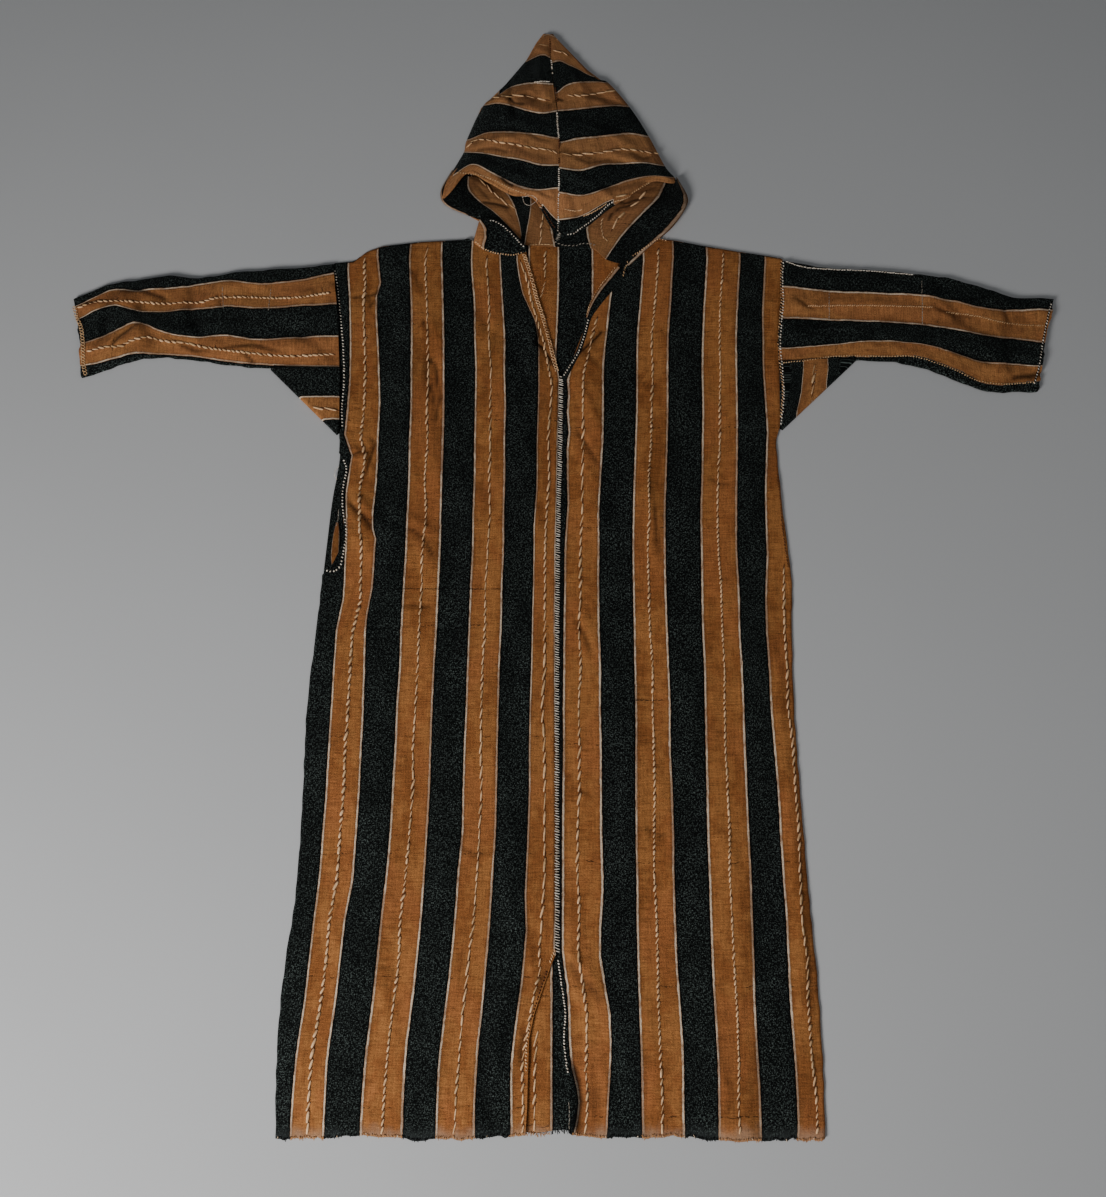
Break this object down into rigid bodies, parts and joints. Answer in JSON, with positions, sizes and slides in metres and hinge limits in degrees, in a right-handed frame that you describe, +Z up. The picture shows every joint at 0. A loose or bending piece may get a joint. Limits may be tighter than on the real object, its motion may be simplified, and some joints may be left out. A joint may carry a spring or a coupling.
{
  "type": "djellaba robe laid flat",
  "caption": "Hooded, striped woollen robe with wide straight sleeves, laid out flat with its front up and its hood spread above the neck.",
  "frame": {"origin": "on the floor, under the middle of the robe's outline", "axes": "+X to the viewer's right along the sleeves, +Y from the hem to the hood, +Z up off the floor"},
  "size_m": [1.5998, 1.7699, 0.0348],
  "materials": {
    "body_cloth": "hand-woven wool in ochre and blue-black stripes with cream lines",
    "sleeve_cloth": "the same cloth with its stripes along the arm",
    "hood_cloth": "the same cloth with its stripes across the crown"
  },
  "bodies": {
    "root": {"back_panel": "body_cloth", "front_left": "body_cloth", "front_right": "body_cloth", "sleeve_left": "sleeve_cloth", "sleeve_right": "sleeve_cloth", "gusset_left": "sleeve_cloth", "gusset_right": "sleeve_cloth", "hood": "hood_cloth"}
  },
  "joints": []
}
